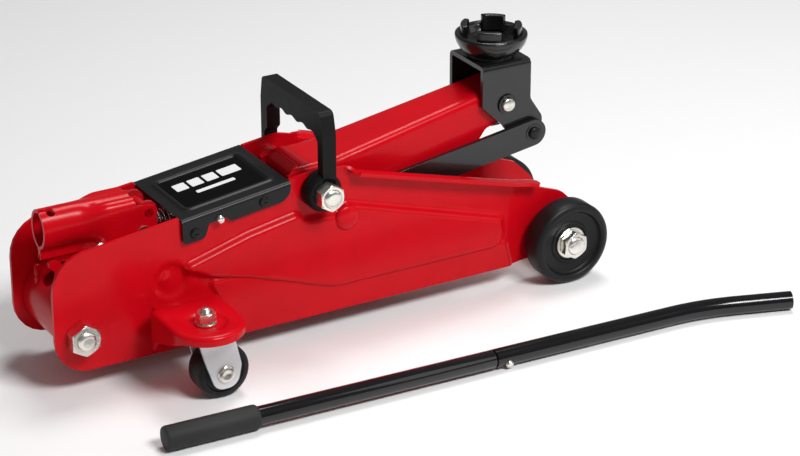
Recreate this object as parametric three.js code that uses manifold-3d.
// A two-tonne hydraulic trolley jack with its two-piece pump lever lying beside it.
// Units are millimetres. +X runs from the pump socket to the front wheels, +Y to the jack's left, +Z up.
import * as THREE from 'three';
import { mergeVertices } from 'three/addons/utils/BufferGeometryUtils.js';
import Module from 'manifold-3d';

const wasm = await Module();
wasm.setup();

// ---------------------------------------------------------------- driving dimensions
const GAP = 0.3; // between pieces that touch
const SHEET = 3; // pressed steel sheet
const PLATE_OUTSIDE = 40.3; // from the middle plane to the outside of each side plate
const PLATE_INSIDE = PLATE_OUTSIDE - SHEET;
const STRIP_OUTSIDE = 42.8; // the pressed strip along the bottom edge
const PANEL_OUTSIDE = 45.3; // the pressed panel above it
const FLANGE_OUTSIDE = 50.5; // the flange along the sloping top edge
const PLATE_BOTTOM = 17.1;
const PLATE_LENGTH = 462;

const PIVOT = { x: 218.7, z: 121.8 }; // lift arm and carry handle turn here
const ARM_PIN = { x: 397, z: 149.2 }; // saddle bracket on the lift arm
const LINK_OFFSET = { x: 22.6, z: -27.3 }; // the links run parallel to the arm, this far from it
const LINK_REAR = { x: PIVOT.x + LINK_OFFSET.x, z: PIVOT.z + LINK_OFFSET.z };
const LINK_FRONT = { x: ARM_PIN.x + LINK_OFFSET.x, z: ARM_PIN.z + LINK_OFFSET.z };
const CRANK_LENGTH = 58;
const CRANK_ANGLE = THREE.MathUtils.degToRad(12); // behind straight down
const CRANK_PIN = {
  x: PIVOT.x - CRANK_LENGTH * Math.sin(CRANK_ANGLE),
  z: PIVOT.z - CRANK_LENGTH * Math.cos(CRANK_ANGLE),
};
const CRANK_ROLLER_RADIUS = 9;

const SHAFT_RADIUS = 7; // M14 shaft, tie rod and axle
const SHAFT_END = { right: 67.5, left: 50.5 };
const TIE_ROD = { x: 20.5, z: 46.8, end: 54.5 };
const FRONT_AXLE = { x: 437.4, z: 34, end: 70 };
const FRONT_WHEEL = { radius: 34, inner: 44, outer: 64, face: 58.5 };
const TIE_NUT = { flats: 22, thick: 11 };
const MAIN_NUT = { flats: 19, thick: 10.7 };
const MAIN_CLIP = { outer: 9.5, thick: 1.7 };
const AXLE_NUT = { flats: 20, thick: 7.2 };
const AXLE_WASHER = { outer: 13, thick: 1.7 };

const ARM_REAR_HALF_WIDTH = 24.5;
const ARM_FRONT_HALF_WIDTH = 19.5;
const ARM_SHEET = 4;
const PIVOT_TUBE_RADIUS = 12.5; // welded between the arm's cheeks, round the main shaft
const LINK_INNER = 26.2;
const LINK_THICKNESS = 4;
const LINK_RADIUS = 11;
const LINK_DOME = { radius: 10, tall: 3.5 };
const PIN_RADIUS = 5;
const SADDLE_PIN_RADIUS = 5.6;

const BRACKET_HALF_WIDTH = 25;
const BRACKET_SHEET = 3.5;
const BRACKET_TOP = 183.4;
const SADDLE_RADIUS = 28.8;

const RAM = { z: 70, bore: 15, rodRadius: 10, headRadius: 12, rollerGap: 1.5 };
const UNIT = { rear: 60, front: 157, cylinderRadius: 21, tubeOuter: 25, tubeInner: 21.3 };
const SPRING_Y = 31.2;

const SOCKET_PIVOT = { x: 90, z: 121 }; // pump socket on the power unit
const SOCKET_PIN_RADIUS = 4;
const PUMP_ROLLER = { x: 84.4, z: 106.6 };
const PUMP_TILT = THREE.MathUtils.degToRad(8); // the pump piston points forward and down
const PUMP_START = { x: 91.8, z: 106.9 }; // middle of the pump piston's cap
const PUMP = {
  radius: 6, length: 38, capRadius: 9.4, cap: 2.5, springInner: 7.8, springOuter: 9.8, springEnd: 20,
};

// The carry handle's right leg stands clear of the frame and its left leg steps in over the left plate.
const HANDLE = { top: 186, bar: 18, rear: 216.2, front: 227.7, hubInner: 41 };
const HANDLE_HUBS = { right: { radius: 15, outer: 54 }, left: { radius: 11, outer: 47 } };
const CASTER = { x: 98.4, y: 90, top: 60.5, rim: 7.5, radius: 28, trail: 9, wheelRadius: 21 };
const LEVER = { tube: 7.3, grip: 9.3, startX: 36, endX: 490, startY: -150, endY: -166 };

const RIGHT = -1;
const LEFT = 1;
const SIDES = [['right', RIGHT], ['left', LEFT]];

// ---------------------------------------------------------------- materials
const paint = (color, roughness, metalness) =>
  new THREE.MeshStandardMaterial({ color, roughness, metalness });
const RED_PAINT = paint(0xc4101c, 0.28, 0.1);
const BLACK_PAINT = paint(0x222222, 0.5, 0.1);
const BLACK_PLASTIC = paint(0x181818, 0.7, 0);
const BLACK_CAST = paint(0x141414, 0.35, 0.2);
const GLOSS_LABEL = paint(0x050505, 0.1, 0);
const ZINC = paint(0xb9b6ae, 0.35, 0.9);
const BRIGHT_STEEL = paint(0xc9c9c9, 0.2, 1);

// ---------------------------------------------------------------- solids
function solidOf(geometry) {
  const bare = geometry.clone();
  bare.deleteAttribute('normal');
  bare.deleteAttribute('uv');
  const merged = mergeVertices(bare, 1e-3);
  return new wasm.Manifold(new wasm.Mesh({
    numProp: 3,
    vertProperties: new Float32Array(merged.attributes.position.array),
    triVerts: new Uint32Array(merged.index.array),
  }));
}

function geometryOf(solid) {
  const mesh = solid.getMesh();
  const geometry = new THREE.BufferGeometry();
  geometry.setAttribute('position', new THREE.BufferAttribute(mesh.vertProperties, 3));
  geometry.setIndex(new THREE.BufferAttribute(mesh.triVerts, 1));
  return geometry;
}

const join = (...geometries) =>
  geometryOf(geometries.map(solidOf).reduce((whole, next) => whole.add(next)));
const cut = (geometry, ...tools) =>
  geometryOf(tools.map(solidOf).reduce((left, tool) => left.subtract(tool), solidOf(geometry)));
const common = (first, second) => geometryOf(solidOf(first).intersect(solidOf(second)));

// ---------------------------------------------------------------- shapes
// A closed outline whose corners are [x, y, radius]; a corner with no radius stays sharp.
function roundedOutline(corners, steps = 3) {
  const points = [];
  corners.forEach(([x, y, radius = 0], i) => {
    const corner = new THREE.Vector2(x, y);
    if (radius === 0) {
      points.push(corner);
      return;
    }
    const before = corners[(i + corners.length - 1) % corners.length];
    const after = corners[(i + 1) % corners.length];
    const toBefore = new THREE.Vector2(before[0] - x, before[1] - y).normalize();
    const toAfter = new THREE.Vector2(after[0] - x, after[1] - y).normalize();
    const half = Math.acos(THREE.MathUtils.clamp(toBefore.dot(toAfter), -1, 1)) / 2;
    const centre = toBefore.clone().add(toAfter).normalize().multiplyScalar(radius / Math.sin(half));
    centre.add(corner);
    const first = corner.clone().addScaledVector(toBefore, radius / Math.tan(half)).sub(centre);
    const last = corner.clone().addScaledVector(toAfter, radius / Math.tan(half)).sub(centre);
    let turn = last.angle() - first.angle();
    if (turn > Math.PI) turn -= 2 * Math.PI;
    if (turn < -Math.PI) turn += 2 * Math.PI;
    for (let step = 0; step <= steps; step += 1) {
      points.push(first.clone().rotateAround(new THREE.Vector2(), (turn * step) / steps).add(centre));
    }
  });
  return new THREE.Shape(points);
}

// Extrude an outline drawn in X and Z through the stretch of Y between low and high.
function acrossY(shape, low, high) {
  const geometry = new THREE.ExtrudeGeometry(shape, { depth: high - low, bevelEnabled: false });
  return geometry.rotateX(Math.PI / 2).translate(0, high, 0);
}

// Extrude an outline drawn in X and Y through the stretch of Z between low and high.
function alongZ(shape, low, high) {
  const geometry = new THREE.ExtrudeGeometry(shape, { depth: high - low, bevelEnabled: false });
  return geometry.translate(0, 0, low);
}

function block(x0, x1, y0, y1, z0, z1) {
  const geometry = new THREE.BoxGeometry(x1 - x0, y1 - y0, z1 - z0);
  return geometry.translate((x0 + x1) / 2, (y0 + y1) / 2, (z0 + z1) / 2);
}

// A turned body: profile points are [radius, place along the axis].
function turned(profile, axis = 'y', sides = 16) {
  const points = profile.map(([radius, place]) => new THREE.Vector2(radius, place));
  const geometry = new THREE.LatheGeometry(points, sides);
  if (axis === 'x') geometry.rotateZ(-Math.PI / 2);
  if (axis === 'z') geometry.rotateX(Math.PI / 2);
  return geometry;
}

const rod = (radius, low, high, axis = 'y', sides = 16) =>
  turned([[0, low], [radius, low], [radius, high], [0, high]], axis, sides);
const ring = (inner, outer, low, high, axis = 'y', sides = 16) =>
  turned([[inner, low], [outer, low], [outer, high], [inner, high], [inner, low]], axis, sides);
const at = (geometry, x, y, z) => geometry.translate(x, y, z);
const spanY = (side, near, far) => (side > 0 ? [near, far] : [-far, -near]);

function hexNut(flats, bore, low, high, axis = 'y') {
  const hexagon = new THREE.Shape();
  for (let corner = 0; corner < 6; corner += 1) {
    const angle = (corner * Math.PI) / 3;
    const reach = flats / Math.sqrt(3);
    const move = corner === 0 ? 'moveTo' : 'lineTo';
    hexagon[move](reach * Math.cos(angle), reach * Math.sin(angle));
  }
  if (bore > 0) {
    const hole = new THREE.Path();
    hole.absarc(0, 0, bore, 0, 2 * Math.PI, true);
    hexagon.holes.push(hole);
  }
  const settings = { depth: high - low, bevelEnabled: false, curveSegments: 8 };
  const geometry = new THREE.ExtrudeGeometry(hexagon, settings).translate(0, 0, low);
  return axis === 'y' ? geometry.rotateX(Math.PI / 2).rotateZ(Math.PI) : geometry;
}

// ---------------------------------------------------------------- the assembly
const jack = new THREE.Group();

function add(name, geometry, material) {
  const mesh = new THREE.Mesh(geometry, material);
  mesh.name = name;
  jack.add(mesh);
}

// ---------------------------------------------------------------- chassis
const PLATE_OUTLINE = roundedOutline([
  [0, PLATE_BOTTOM, 28], [0, 109.7, 30], [226, 137.5, 26], [424, 82.6, 5],
  [PLATE_LENGTH, 50, 16], [PLATE_LENGTH, PLATE_BOTTOM, 18],
]);
const STRIP_OUTLINE = roundedOutline([
  [124, 68, 4], [155, PLATE_BOTTOM], [396, PLATE_BOTTOM], [388, 40, 4], [228, 60, 10],
]);
const PANEL_OUTLINE = roundedOutline([
  [101, 82, 3], [158, 98, 10], [200, 105.5, 6], [206, 99, 4], [236, 98, 4], [242, 105, 4],
  [382, 62, 4], [386, 37, 4], [230, 37.5, 20], [158, 62.5, 20], [127, 70.5, 8],
]);
const FLANGE_OUTLINE = roundedOutline([[238, 134.4], [422, 83.4], [422, 80], [238, 131]]);
const COVER = { rear: 103.7, front: 194.5, rearTop: 121, frontTop: 133.1, half: 43.5, sheet: 2 };
const COVER_SLOPE = Math.atan2(COVER.frontTop - COVER.rearTop, COVER.front - COVER.rear);
const coverTop = (x) => COVER.rearTop + (x - COVER.rear) * Math.tan(COVER_SLOPE);
const COVER_LABEL = { x: 150, halfLong: 34, halfWide: 27, recessed: 0.5 };
const LABEL_EDGE = 0.5; // between the label and the edge of its recess
const DOWEL = { x: 134.8, z: 116.3, radius: 3, end: 46.5 };

// The top edge of each side plate is cut down under the cover, so the cover lies flush.
function coverNotch() {
  const low = COVER.sheet + GAP;
  return acrossY(roundedOutline([
    [COVER.rear - GAP, coverTop(COVER.rear) - low], [COVER.front + GAP, coverTop(COVER.front) - low],
    [COVER.front + GAP, 160], [COVER.rear - GAP, 160],
  ]), -60, 60);
}

function sidePlate(side) {
  const layer = (outline, outside) => acrossY(outline, ...spanY(side, PLATE_INSIDE, outside));
  const hole = (place, radius) => at(rod(radius, ...spanY(side, 30, 60)), place.x, 0, place.z);
  return cut(
    join(
      layer(PLATE_OUTLINE, PLATE_OUTSIDE),
      layer(STRIP_OUTLINE, STRIP_OUTSIDE),
      layer(PANEL_OUTLINE, PANEL_OUTSIDE),
      layer(FLANGE_OUTLINE, FLANGE_OUTSIDE),
    ),
    hole(TIE_ROD, SHAFT_RADIUS + GAP),
    hole(PIVOT, SHAFT_RADIUS + GAP),
    hole(LINK_REAR, PIN_RADIUS + GAP),
    hole(FRONT_AXLE, SHAFT_RADIUS + GAP),
    hole(DOWEL, DOWEL.radius + GAP),
    coverNotch(),
  );
}
for (const [label, side] of SIDES) add(`side_plate_${label}`, sidePlate(side), RED_PAINT);

// The cross tube is a rolled sheet, open toward the pump. Its upper edge is notched under the socket,
// with a short post on one side of the notch and a hooked stop for the socket's foot on the other.
const CROSS = { x: 37.5, z: 50, inner: 27, outer: 30, front: 52 };
const CROSS_NOTCH = { right: 3, left: 20, bottom: 69 };
const CROSS_POST = { x: 14.3, radius: 2.4, bottom: 64, top: 81 };
const SOCKET_STOP = roundedOutline([
  [17, 60], [19, 72, 6], [20.5, 82, 6], [15, 86, 1.5], [15, 91, 2], [24, 91, 5], [30, 74], [30, 60],
]);
function rearCrossTube() {
  const end = PLATE_INSIDE - GAP;
  const roll = at(ring(CROSS.inner, CROSS.outer, -end, end, 'y', 32), CROSS.x, 0, CROSS.z);
  const opening = block(CROSS.front, 100, -50, 50, 0, 100);
  const { right, left, bottom } = CROSS_NOTCH;
  const notch = block(0, CROSS.front + 1, right, left, bottom, 100);
  const post = at(
    rod(CROSS_POST.radius, CROSS_POST.bottom, CROSS_POST.top, 'z', 12),
    CROSS_POST.x, left + CROSS_POST.radius, 0,
  );
  return join(cut(roll, opening, notch), post, acrossY(SOCKET_STOP, right - SHEET, right));
}
add('rear_cross_tube', rearCrossTube(), RED_PAINT);

add('rear_tie_rod', at(rod(SHAFT_RADIUS, -TIE_ROD.end, TIE_ROD.end), TIE_ROD.x, 0, TIE_ROD.z), ZINC);
for (const [label, side] of SIDES) {
  const inner = PLATE_OUTSIDE + GAP;
  const nut = hexNut(TIE_NUT.flats, SHAFT_RADIUS + GAP, ...spanY(side, inner, inner + TIE_NUT.thick));
  add(`rear_tie_nut_${label}`, at(nut, TIE_ROD.x, 0, TIE_ROD.z), ZINC);
}

// ---------------------------------------------------------------- cover plate
// The cover follows the plates' sloping top edge, and its skirts reach down outside them.
function coverPlate() {
  const outside = roundedOutline([
    [COVER.rear, coverTop(COVER.rear)], [COVER.front, coverTop(COVER.front)],
    [COVER.front, 119.5, 8], [144, 112.5, 3], [141, 116.5], [126, 114.5], [123, 104],
    [COVER.rear + 1, 101.5, 4],
  ]);
  const shell = acrossY(outside, -COVER.half, COVER.half);
  const hollow = roundedOutline([
    [90, 60], [90, coverTop(90) - COVER.sheet], [210, coverTop(210) - COVER.sheet], [210, 60],
  ]);
  const inner = PLATE_OUTSIDE + GAP;
  const body = cut(shell, acrossY(hollow, -inner, inner));
  const { x, halfLong, halfWide, recessed } = COVER_LABEL;
  const recess = block(-halfLong, halfLong, -halfWide, halfWide, -recessed - GAP, 5);
  recess.rotateY(-COVER_SLOPE).translate(x, 0, coverTop(x));
  const dowelHole = at(rod(DOWEL.radius + GAP, -60, 60, 'y', 12), DOWEL.x, 0, DOWEL.z);
  return cut(body, recess, dowelHole, ...COVER_SCREWS.map(screwHole));
}

const SCREW = { radius: 2.5, head: 4.2, tall: 1.6 };
const COVER_SCREWS = SIDES.flatMap(([label, side]) => [
  { name: `cover_screw_front_${label}`, side, x: 172, z: 122 },
  { name: `cover_screw_rear_${label}`, side, x: 114.5, z: 109 },
]);

function coverScrew({ side, x, z }) {
  const head = rod(SCREW.head, GAP, GAP + SCREW.tall, 'y', 12);
  const shank = rod(SCREW.radius, -2, 1, 'y', 12);
  const screw = join(head, shank);
  if (side < 0) screw.rotateX(Math.PI);
  return at(screw, x, side * COVER.half, z);
}
const screwHole = ({ side, x, z }) =>
  at(rod(SCREW.radius + GAP, ...spanY(side, 36, 48), 'y', 12), x, 0, z);

add('cover_plate', coverPlate(), BLACK_PAINT);
for (const screw of COVER_SCREWS) add(screw.name, coverScrew(screw), BLACK_PAINT);

function coverLabel() {
  const { x, halfLong, halfWide, recessed } = COVER_LABEL;
  const long = halfLong - LABEL_EDGE;
  const wide = halfWide - LABEL_EDGE;
  const label = block(-long, long, -wide, wide, -recessed, 0);
  return label.rotateY(-COVER_SLOPE).translate(x, 0, coverTop(x));
}
add('cover_label', coverLabel(), GLOSS_LABEL);
add('cover_dowel_pin', at(rod(DOWEL.radius, -DOWEL.end, DOWEL.end, 'y', 12), DOWEL.x, 0, DOWEL.z), ZINC);

// ---------------------------------------------------------------- shaft, pins and axle
add('main_shaft', at(rod(SHAFT_RADIUS, -SHAFT_END.right, SHAFT_END.left), PIVOT.x, 0, PIVOT.z), ZINC);
const mainNutInner = HANDLE_HUBS.right.outer + GAP;
const mainNutSpan = spanY(RIGHT, mainNutInner, mainNutInner + MAIN_NUT.thick);
const mainNut = hexNut(MAIN_NUT.flats, SHAFT_RADIUS + GAP, ...mainNutSpan);
add('main_nut', at(mainNut, PIVOT.x, 0, PIVOT.z), ZINC);
const clipInner = HANDLE_HUBS.left.outer + GAP;
const mainClip = ring(SHAFT_RADIUS + GAP, MAIN_CLIP.outer, clipInner, clipInner + MAIN_CLIP.thick);
add('main_shaft_clip', at(mainClip, PIVOT.x, 0, PIVOT.z), ZINC);

const frontAxle = rod(SHAFT_RADIUS, -FRONT_AXLE.end, FRONT_AXLE.end);
add('front_axle', at(frontAxle, FRONT_AXLE.x, 0, FRONT_AXLE.z), ZINC);
for (const [label, side] of SIDES) {
  const bore = SHAFT_RADIUS + GAP;
  const washerInner = FRONT_WHEEL.face + GAP;
  const washerOuter = washerInner + AXLE_WASHER.thick;
  const washer = ring(bore, AXLE_WASHER.outer, ...spanY(side, washerInner, washerOuter));
  add(`front_washer_${label}`, at(washer, FRONT_AXLE.x, 0, FRONT_AXLE.z), ZINC);
  const nutInner = washerOuter + GAP;
  const nut = hexNut(AXLE_NUT.flats, bore, ...spanY(side, nutInner, nutInner + AXLE_NUT.thick));
  add(`front_nut_${label}`, at(nut, FRONT_AXLE.x, 0, FRONT_AXLE.z), ZINC);
}

// Each link turns on a stub pin riveted through its side plate, with a domed head outside.
function linkPivot(side) {
  const inner = LINK_INNER - 1;
  const dome = PANEL_OUTSIDE + GAP;
  const { radius, tall } = LINK_DOME;
  const profile = [
    [0, inner], [PIN_RADIUS, inner], [PIN_RADIUS, dome], [radius, dome], [radius * 0.9, dome + tall * 0.45],
    [radius * 0.5, dome + tall * 0.85], [0, dome + tall],
  ];
  const pin = turned(profile, 'y', 16);
  if (side < 0) pin.rotateX(Math.PI);
  return at(pin, LINK_REAR.x, 0, LINK_REAR.z);
}
for (const [label, side] of SIDES) add(`link_pivot_${label}`, linkPivot(side), RED_PAINT);

// ---------------------------------------------------------------- power unit
const EAR = { inner: 10.6, outer: 13.2 }; // across Y, inside the socket's cheeks
const RELEASE_VALVE = { z: 56, radius: 5, rear: 51, inner: 70, headFlats: 12, headLength: 8.5 };
const pumpAxis = (geometry) =>
  geometry.rotateY(PUMP_TILT).translate(PUMP_START.x, 0, PUMP_START.z);

// The casting holds the ram's cylinder, the pump bore on top of it and the ears of the socket's pivot.
function powerUnitBlock() {
  const base = block(UNIT.rear, 104, -34, 34, 48, 92);
  const boss = block(114, 146, -17, 17, 88, 112.8);
  const cylinder = at(rod(UNIT.cylinderRadius, 100, UNIT.front, 'x', 24), 0, 0, RAM.z);
  const ear = acrossY(
    roundedOutline([
      [82.2, 114], [82.2, 129, 7.5], [98, 129, 7.5], [98, 90], [89.5, 90], [89.5, 112, 2],
    ]),
    EAR.inner, EAR.outer,
  );
  const ears = [ear, ear.clone().translate(0, -EAR.inner - EAR.outer, 0)];
  const ramBore = at(rod(RAM.bore, 72, UNIT.front + 1, 'x', 20), 0, 0, RAM.z);
  const pumpBore = pumpAxis(rod(PUMP.radius + GAP, PUMP.length - 28, PUMP.length + 10, 'x', 16));
  const pivotHole = at(rod(SOCKET_PIN_RADIUS + GAP, -20, 20, 'y', 16), SOCKET_PIVOT.x, 0, SOCKET_PIVOT.z);
  const { radius, inner, z } = RELEASE_VALVE;
  const valveBore = at(rod(radius + GAP, UNIT.rear - 10, inner + GAP, 'x'), 0, 0, z);
  return cut(join(base, boss, cylinder, ...ears), ramBore, pumpBore, pivotHole, valveBore);
}
add('power_unit_block', powerUnitBlock(), RED_PAINT);

// The release valve screws into the rear of the casting and lets the arm down.
function releaseValve() {
  const { z, radius, rear, inner, headFlats, headLength } = RELEASE_VALVE;
  const head = hexNut(headFlats, 0, 0, headLength, 'z').rotateY(Math.PI / 2).translate(rear, 0, 0);
  return at(join(head, rod(radius, rear + headLength - 1, inner, 'x')), 0, 0, z);
}
add('release_valve', releaseValve(), ZINC);

const reservoir = at(ring(UNIT.tubeInner, UNIT.tubeOuter, 104.3, UNIT.front - 3, 'x', 24), 0, 0, RAM.z);
add('reservoir_tube', cut(reservoir, block(100, 150, -18, 18, RAM.z + 10, RAM.z + 40)), RED_PAINT);

// The ram pushes the crank roller; a crosshead behind its face takes the two return springs.
const RAM_FACE = CRANK_PIN.x - CRANK_ROLLER_RADIUS - RAM.rollerGap;
function ramRod() {
  const profile = [
    [0, 96], [RAM.bore - GAP, 96], [RAM.bore - GAP, 108], [RAM.rodRadius, 108],
    [RAM.rodRadius, RAM_FACE - 8], [RAM.headRadius, RAM_FACE - 8], [RAM.headRadius, RAM_FACE],
    [0, RAM_FACE],
  ];
  const shaft = at(turned(profile, 'x', 20), 0, 0, RAM.z);
  const crosshead = block(RAM_FACE - 14, RAM_FACE - 7, -SPRING_Y - 3, SPRING_Y + 3, RAM.z - 5, RAM.z + 5);
  return join(shaft, crosshead);
}
add('ram_rod', ramRod(), BRIGHT_STEEL);
for (const [label, side] of SIDES) {
  const coil = ring(3, 4.6, 131, RAM_FACE - 14 - GAP, 'x', 10);
  add(`return_spring_${label}`, at(coil, 0, side * SPRING_Y, RAM.z), BRIGHT_STEEL);
}

// ---------------------------------------------------------------- pump socket
// The socket's mouth is a tall oval tube whose front end is pressed into a channel around the pump.
const SOCKET = {
  mouth: 8, tubeEnd: 58, middle: 119.5, halfWide: 12.3, halfTall: 15.5, wall: 2.5, cheek: 17,
};
function ovalAlongX(halfWide, halfTall, low, high) {
  const oval = new THREE.Shape();
  oval.absellipse(0, 0, halfTall, halfWide, 0, 2 * Math.PI);
  const settings = { depth: high - low, bevelEnabled: false, curveSegments: 10 };
  const geometry = new THREE.ExtrudeGeometry(oval, settings);
  return geometry.rotateY(Math.PI / 2).translate(low, 0, SOCKET.middle);
}
function handleSocket() {
  const outside = ovalAlongX(SOCKET.halfWide, SOCKET.halfTall, SOCKET.mouth, SOCKET.tubeEnd);
  const cheekOutline = roundedOutline([
    [42, 93, 5], [86, 99, 6], [95.5, 109, 4], [95.5, 127, 3], [84, 132, 6], [40, 133, 4],
  ]);
  const channel = acrossY(cheekOutline, -SOCKET.cheek, SOCKET.cheek);
  const bore = ovalAlongX(
    SOCKET.halfWide - SOCKET.wall, SOCKET.halfTall - SOCKET.wall, SOCKET.mouth - 1, SOCKET.tubeEnd + 1,
  );
  const inner = SOCKET.cheek - SOCKET.wall;
  const channelHollow = block(56, 110, -inner, inner, 80, 128);
  const earSlot = block(79, 110, -13.5, 13.5, 80, 140);
  const hole = (place, radius) => at(rod(radius, -20, 20, 'y', 16), place.x, 0, place.z);
  return cut(
    join(outside, channel), bore, channelHollow, earSlot,
    hole(SOCKET_PIVOT, SOCKET_PIN_RADIUS + GAP), hole(PUMP_ROLLER, SOCKET_PIN_RADIUS + GAP),
  );
}
add('handle_socket', handleSocket(), RED_PAINT);
const pivotPin = rod(SOCKET_PIN_RADIUS, -SOCKET.cheek, SOCKET.cheek, 'y', 16);
add('socket_pivot_pin', at(pivotPin, SOCKET_PIVOT.x, 0, SOCKET_PIVOT.z), RED_PAINT);
const rollerPinEnd = SOCKET.cheek + 1.5;
const rollerPin = join(
  rod(SOCKET_PIN_RADIUS, -rollerPinEnd, rollerPinEnd, 'y', 16),
  rod(5.5, -8.5, 8.5, 'y', 16), // the roller that pushes the piston's cap
);
add('pump_roller_pin', at(rollerPin, PUMP_ROLLER.x, 0, PUMP_ROLLER.z), ZINC);

function pumpPiston() {
  const { radius, length, capRadius, cap } = PUMP;
  const profile = [[0, 0], [capRadius, 0], [capRadius, cap], [radius, cap], [radius, length], [0, length]];
  return pumpAxis(turned(profile, 'x', 14));
}
add('pump_piston', pumpPiston(), BRIGHT_STEEL);
const { springInner, springOuter, springEnd } = PUMP;
const pumpSpring = ring(springInner, springOuter, PUMP.cap + GAP, springEnd, 'x', 16);
add('pump_spring', pumpAxis(pumpSpring), BRIGHT_STEEL);

// ---------------------------------------------------------------- lift arm
// The arm is a downward-open channel, wide at the shaft and narrow under the saddle bracket. Its
// cheeks run on behind the shaft down to the crank roller that the ram pushes.
const ARM_OUTLINE = roundedOutline([
  [CRANK_PIN.x - 13, CRANK_PIN.z - 10, 11], [CRANK_PIN.x + 11, CRANK_PIN.z - 12, 11],
  [236, 88, 15], [282, 98, 10], [372, 118, 3], [381, 130, 6], [397, 134, 3], [409, 140, 8],
  [409.5, 165.4, 9], [246, 134.5], [201.5, 133, 5], [197, 108, 12],
]);
const ARM_HOLLOW = roundedOutline([
  [180, 40], [420, 40], [420, 163.4], [246, 130.4], [190, 129.2],
]);
function armPlan(inset) {
  const rear = ARM_REAR_HALF_WIDTH - inset;
  const front = ARM_FRONT_HALF_WIDTH - inset;
  return roundedOutline([
    [180, -rear], [240, -rear], [374, -front], [420, -front],
    [420, front], [374, front], [240, rear], [180, rear],
  ]);
}
function liftArm() {
  const outside = common(alongZ(armPlan(0), 30, 180), acrossY(ARM_OUTLINE, -30, 30));
  const inside = common(alongZ(armPlan(ARM_SHEET), 30, 180), acrossY(ARM_HOLLOW, -30, 30));
  const pivotTube = at(rod(PIVOT_TUBE_RADIUS, -21, 21, 'y', 24), PIVOT.x, 0, PIVOT.z);
  const hole = (place, radius) => at(rod(radius, -30, 30), place.x, 0, place.z);
  return cut(
    join(cut(outside, inside), pivotTube),
    hole(PIVOT, SHAFT_RADIUS + GAP),
    hole(CRANK_PIN, PIN_RADIUS + GAP),
    hole(ARM_PIN, SADDLE_PIN_RADIUS + GAP),
  );
}
add('lift_arm', liftArm(), RED_PAINT);

const rollerHalf = ARM_REAR_HALF_WIDTH - ARM_SHEET - GAP;
const crankRoller = join(
  rod(CRANK_ROLLER_RADIUS, -rollerHalf, rollerHalf, 'y', 18),
  rod(PIN_RADIUS, -ARM_REAR_HALF_WIDTH - 0.5, ARM_REAR_HALF_WIDTH + 0.5, 'y', 16),
);
add('crank_roller', at(crankRoller, CRANK_PIN.x, 0, CRANK_PIN.z), BRIGHT_STEEL);

// ---------------------------------------------------------------- saddle and its bracket
function saddleBracket() {
  const outline = roundedOutline([
    [374.4, BRACKET_TOP], [418.8, BRACKET_TOP], [418.8, 150, 6], [430, 133, 8], [430, 111, 9],
    [409, 111, 9], [394, 131, 3], [374.4, 150, 2],
  ]);
  const outside = acrossY(outline, -BRACKET_HALF_WIDTH, BRACKET_HALF_WIDTH);
  const inner = BRACKET_HALF_WIDTH - BRACKET_SHEET;
  const hollow = block(360, 440, -inner, inner, 90, BRACKET_TOP - BRACKET_SHEET);
  const hole = (place, radius) => at(rod(radius, -30, 30), place.x, 0, place.z);
  const stemHole = at(rod(7 + GAP, 170, 190, 'z'), ARM_PIN.x, 0, 0);
  return cut(
    outside, hollow, stemHole,
    hole(ARM_PIN, SADDLE_PIN_RADIUS + GAP), hole(LINK_FRONT, PIN_RADIUS + GAP),
  );
}
add('saddle_bracket', saddleBracket(), BLACK_PAINT);
add('saddle_pin', at(rod(SADDLE_PIN_RADIUS, -29, 29, 'y', 18), ARM_PIN.x, 0, ARM_PIN.z), ZINC);
add('link_pin', at(rod(PIN_RADIUS, -33, 33, 'y', 18), LINK_FRONT.x, 0, LINK_FRONT.z), BLACK_PAINT);

const SADDLE_LUGS = 4;
const SADDLE_TURN = THREE.MathUtils.degToRad(54);
function saddleCup() {
  const base = BRACKET_TOP + GAP;
  const cup = turned([
    [0, base - 8], [7, base - 8], [7, base], [15, base], [19, base + 1.8], [25, base + 6],
    [28, base + 11], [SADDLE_RADIUS, base + 15.5], [SADDLE_RADIUS, base + 17.5], [25, base + 18.3],
    [23, base + 16], [21, base + 10.5], [0, base + 10.5],
  ], 'z', 28);
  const lugs = [];
  for (let lug = 0; lug < SADDLE_LUGS; lug += 1) {
    const tooth = block(21.5, 26.8, -8.5, 8.5, base + 9, base + 25);
    lugs.push(tooth.rotateZ(SADDLE_TURN + (lug * 2 * Math.PI) / SADDLE_LUGS));
  }
  return at(join(cup, ...lugs), ARM_PIN.x, 0, 0);
}
add('saddle', saddleCup(), BLACK_CAST);

function linkBar(side) {
  const middle = new THREE.Vector2(LINK_FRONT.x - LINK_REAR.x, LINK_FRONT.z - LINK_REAR.z);
  const reach = middle.length();
  const end = reach + LINK_RADIUS;
  const corner = LINK_RADIUS - 0.01; // just short of a half circle at each end
  const bar = roundedOutline([
    [-LINK_RADIUS, -LINK_RADIUS, corner], [end, -LINK_RADIUS, corner],
    [end, LINK_RADIUS, corner], [-LINK_RADIUS, LINK_RADIUS, corner],
  ], 4);
  for (const x of [0, reach]) {
    const hole = new THREE.Path();
    hole.absarc(x, 0, PIN_RADIUS + GAP, 0, 2 * Math.PI, true);
    bar.holes.push(hole);
  }
  const geometry = acrossY(bar, ...spanY(side, LINK_INNER, LINK_INNER + LINK_THICKNESS));
  return at(geometry.rotateY(-middle.angle()), LINK_REAR.x, 0, LINK_REAR.z);
}
for (const [label, side] of SIDES) add(`link_bar_${label}`, linkBar(side), BLACK_PAINT);

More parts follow.
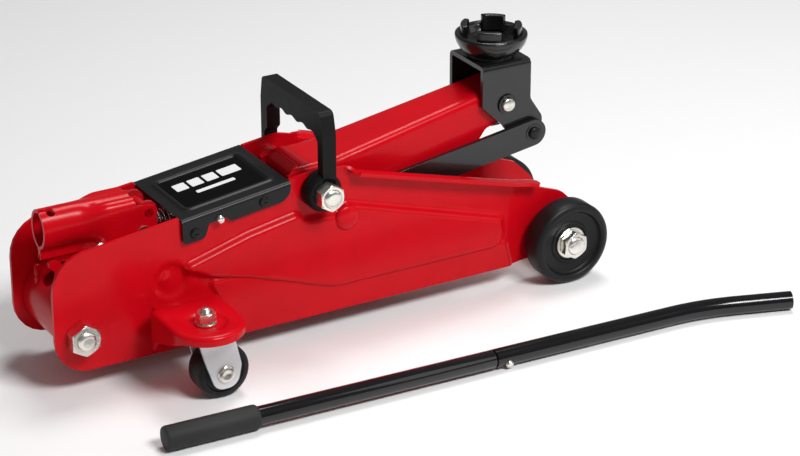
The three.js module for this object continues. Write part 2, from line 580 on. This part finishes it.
// ---------------------------------------------------------------- carry handle
function carryHandle() {
  const { top, bar, rear, front, hubInner } = HANDLE;
  const under = top - bar;
  const loop = [
    [-54, PIVOT.z], [-54, 168, 4], [-50, top, 5], [43, top, 5], [46, 168, 4], [46, PIVOT.z],
    [hubInner, PIVOT.z], [hubInner, 140], [36, 145, 2], [36, under - 6, 3], [28, under, 6],
    [-38, under, 6], [-46, under - 6, 3], [-46, PIVOT.z],
  ];
  const settings = { depth: front - rear, bevelEnabled: false };
  const frame = new THREE.ExtrudeGeometry(roundedOutline(loop), settings);
  frame.rotateX(Math.PI / 2).rotateZ(Math.PI / 2).translate(rear, 0, 0);
  const hubs = SIDES.map(([label, side]) => {
    const { radius, outer } = HANDLE_HUBS[label];
    return at(rod(radius, ...spanY(side, hubInner, outer), 'y', 20), PIVOT.x, 0, PIVOT.z);
  });
  const bore = at(rod(SHAFT_RADIUS + GAP, -60, 60), PIVOT.x, 0, PIVOT.z);
  return cut(join(frame, ...hubs), bore);
}
add('carry_handle', carryHandle(), BLACK_PLASTIC);

// ---------------------------------------------------------------- front wheels
function frontWheel(side) {
  const { radius, inner, outer, face } = FRONT_WHEEL;
  const bore = SHAFT_RADIUS + GAP;
  const wheel = turned([
    [bore, inner + 1], [13, inner + 1], [15, inner + 3], [26, inner + 3], [28, inner], [radius - 2, inner],
    [radius, inner + 2], [radius, outer - 3], [radius - 2.5, outer], [26.5, outer], [24, face + 1.5],
    [17, face], [bore, face], [bore, inner + 1],
  ], 'y', 28);
  if (side < 0) wheel.rotateX(Math.PI);
  return at(wheel, FRONT_AXLE.x, 0, FRONT_AXLE.z);
}
for (const [label, side] of SIDES) add(`front_wheel_${label}`, frontWheel(side), BLACK_PLASTIC);

// ---------------------------------------------------------------- rear casters
const CASTER_AXLE = { z: CASTER.wheelRadius, radius: 3.5 };
const FORK = { inner: 10.3, outer: 12.8, top: 56, plate: 3 };
const STUD_RADIUS = 4;

// The bracket is a pressed tray with a turned-down rim, welded to the side plate along its inner edge.
function casterBracket(side) {
  const { x, y, top, rim, radius } = CASTER;
  const tray = (inset) => roundedOutline([
    [66 + inset, side * (50 + inset)], [66 + inset, side * (80 - inset), 6],
    [x - radius + inset, side * (y + radius - inset), radius - inset - 0.1],
    [x + radius - inset, side * (y + radius - inset), radius - inset - 0.1],
    [128 - inset, side * (50 + inset)],
  ], 5);
  const outside = alongZ(tray(0), top - rim, top);
  const hollow = alongZ(tray(SHEET), top - rim - 1, top - SHEET);
  const inner = PLATE_OUTSIDE + GAP;
  const shelf = block(66, 128, ...spanY(side, inner, 53), top - rim, top - rim + SHEET);
  const gusset = block(66, 66 + SHEET, ...spanY(side, inner, 72), 33, top - 1);
  const studHole = at(rod(STUD_RADIUS + GAP, 40, 80, 'z', 16), x, side * y, 0);
  return cut(join(cut(outside, hollow), shelf, gusset), studHole);
}

// Fork, wheel and rivet are drawn about the stud, with the wheel trailing forward.
const underStud = (geometry, side) => at(geometry, CASTER.x, side * CASTER.y, 0);
function casterFork() {
  const leg = roundedOutline([
    [-13, FORK.top], [16, FORK.top], [21.5, 26, 8], [18, 9, 9], [1, 9, 9], [-6, 30, 8],
  ]);
  const outside = acrossY(leg, -FORK.outer, FORK.outer);
  const hollow = block(-40, 40, -FORK.inner, FORK.inner, 0, FORK.top - FORK.plate);
  const stud = rod(STUD_RADIUS, FORK.top - 1, 71.5, 'z', 16);
  const rivetHole = at(rod(CASTER_AXLE.radius + GAP, -20, 20, 'y', 12), CASTER.trail, 0, CASTER_AXLE.z);
  return cut(join(cut(outside, hollow), stud), rivetHole);
}
function casterWheel() {
  const wheel = turned([
    [CASTER_AXLE.radius + GAP, -9.5], [19, -9.5], [CASTER.wheelRadius, -7.5], [CASTER.wheelRadius, 7.5],
    [19, 9.5], [CASTER_AXLE.radius + GAP, 9.5], [CASTER_AXLE.radius + GAP, -9.5],
  ], 'y', 24);
  return at(wheel, CASTER.trail, 0, CASTER_AXLE.z);
}
function casterRivet() {
  const end = FORK.outer + GAP;
  const rivet = turned([
    [0, -end - 1.8], [4.6, -end - 1.8], [5.8, -end], [CASTER_AXLE.radius, -end],
    [CASTER_AXLE.radius, end], [5.8, end], [4.6, end + 1.8], [0, end + 1.8],
  ], 'y', 10);
  return at(rivet, CASTER.trail, 0, CASTER_AXLE.z);
}
for (const [label, side] of SIDES) {
  add(`caster_bracket_${label}`, casterBracket(side), RED_PAINT);
  add(`caster_fork_${label}`, underStud(casterFork(), side), ZINC);
  add(`caster_wheel_${label}`, underStud(casterWheel(), side), BLACK_PLASTIC);
  add(`caster_rivet_${label}`, underStud(casterRivet(), side), ZINC);
  const nut = hexNut(13, STUD_RADIUS + GAP, CASTER.top + GAP, CASTER.top + 8, 'z');
  add(`caster_nut_${label}`, underStud(nut, side), ZINC);
}

// ---------------------------------------------------------------- pump lever, lying on the ground
const leverPoint = (x) => new THREE.Vector3(
  x,
  THREE.MathUtils.mapLinear(x, LEVER.startX, LEVER.endX, LEVER.startY, LEVER.endY),
  THREE.MathUtils.mapLinear(x, LEVER.startX, LEVER.endX, LEVER.grip, LEVER.tube),
);
const LEVER_TIP = new THREE.Vector3(560, -189, LEVER.tube);
const LEVER_JOINT = 303;
const GRIP_START = 34;
const GRIP_END = 107;
const LOWER_TUBE_START = 39;
const LEVER_NECK = 5.8;
const LEVER_BUTTON = { x: 313, radius: 3, proud: 2.5, inner: 3, travel: 2.5 };
const BUTTON_TURN = THREE.MathUtils.degToRad(30); // below level, on the lever's right

// A straight round body laid along the lever between two places in X.
function alongLever(profile) {
  const body = turned(profile.map(([radius, x]) => [radius, x - LEVER.startX]), 'x', 20);
  const direction = leverPoint(LEVER.endX).sub(leverPoint(LEVER.startX)).normalize();
  body.applyQuaternion(new THREE.Quaternion().setFromUnitVectors(new THREE.Vector3(1, 0, 0), direction));
  const start = leverPoint(LEVER.startX);
  return at(body, start.x, start.y, start.z);
}
function buttonAt(radius, reach, inner) {
  const button = rod(radius, -reach, -inner, 'y', 10).rotateX(BUTTON_TURN);
  const place = leverPoint(LEVER_BUTTON.x);
  return at(button, place.x, place.y, place.z);
}
const buttonHole = () =>
  buttonAt(LEVER_BUTTON.radius + GAP, LEVER.tube + 5, LEVER_BUTTON.inner - LEVER_BUTTON.travel - GAP);

function leverUpperTube() {
  const path = new THREE.CurvePath();
  const bendStart = leverPoint(468);
  const bendEnd = leverPoint(LEVER.endX).lerp(LEVER_TIP, 0.3);
  path.add(new THREE.LineCurve3(leverPoint(LEVER_JOINT), bendStart));
  path.add(new THREE.QuadraticBezierCurve3(bendStart, leverPoint(LEVER.endX), bendEnd));
  path.add(new THREE.LineCurve3(bendEnd, LEVER_TIP));
  const section = new THREE.Shape();
  section.absarc(0, 0, LEVER.tube, 0, 2 * Math.PI);
  const bore = new THREE.Path();
  bore.absarc(0, 0, LEVER_NECK + GAP, 0, 2 * Math.PI, true);
  section.holes.push(bore);
  const tube = new THREE.ExtrudeGeometry(section, { steps: 14, extrudePath: path, curveSegments: 6 });
  return cut(tube, buttonHole());
}
const neckEnd = LEVER_JOINT + 42;
const lowerTube = alongLever([
  [0, LOWER_TUBE_START], [LEVER.tube, LOWER_TUBE_START], [LEVER.tube, LEVER_JOINT - 1],
  [LEVER_NECK, LEVER_JOINT - 1], [LEVER_NECK, neckEnd], [0, neckEnd],
]);
add('lever_lower_tube', cut(lowerTube, buttonHole()), BLACK_PAINT);
add('lever_upper_tube', leverUpperTube(), BLACK_PAINT);
add('lever_grip', alongLever([
  [0, GRIP_START], [LEVER.grip, GRIP_START], [LEVER.grip, GRIP_END], [LEVER.tube + GAP, GRIP_END],
  [LEVER.tube + GAP, LOWER_TUBE_START - 1], [0, LOWER_TUBE_START - 1],
]), BLACK_PLASTIC);
add(
  'lever_button',
  buttonAt(LEVER_BUTTON.radius, LEVER.tube + LEVER_BUTTON.proud, LEVER_BUTTON.inner),
  ZINC,
);

// ---------------------------------------------------------------- origin under the middle of the box
const box = new THREE.Box3().setFromObject(jack);
const middle = box.getCenter(new THREE.Vector3());
jack.position.set(-middle.x, -middle.y, -box.min.z);

export default jack;
